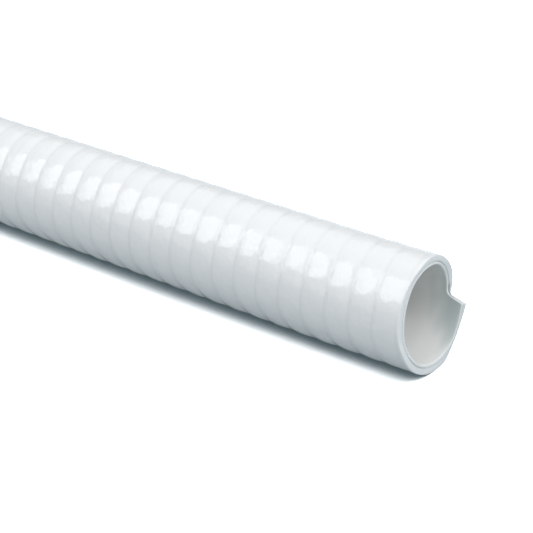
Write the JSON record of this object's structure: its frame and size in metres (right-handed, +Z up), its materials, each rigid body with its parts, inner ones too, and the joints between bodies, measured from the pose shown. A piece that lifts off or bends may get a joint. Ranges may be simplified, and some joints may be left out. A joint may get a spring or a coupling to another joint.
{
  "type": "flexible vacuum hose",
  "caption": "Straight length of smooth-bore flexible hose with a rigid helix wound inside its wall, square at one end and knife-cut at the other.",
  "frame": {"origin": "centre of the bore at the square end", "axes": "+X along the bore towards the knife-cut end, +Z up, square to the flat that the hose rests on"},
  "size_m": [0.305, 0.0484, 0.0475],
  "materials": {
    "liner": "smooth flexible PVC, satin",
    "helix": "rigid PVC, smooth",
    "cover": "glossy flexible PVC, faintly translucent"
  },
  "bodies": {
    "root": {"inner_liner": "liner", "rigid_helix": "helix", "outer_cover": "cover"}
  },
  "joints": []
}
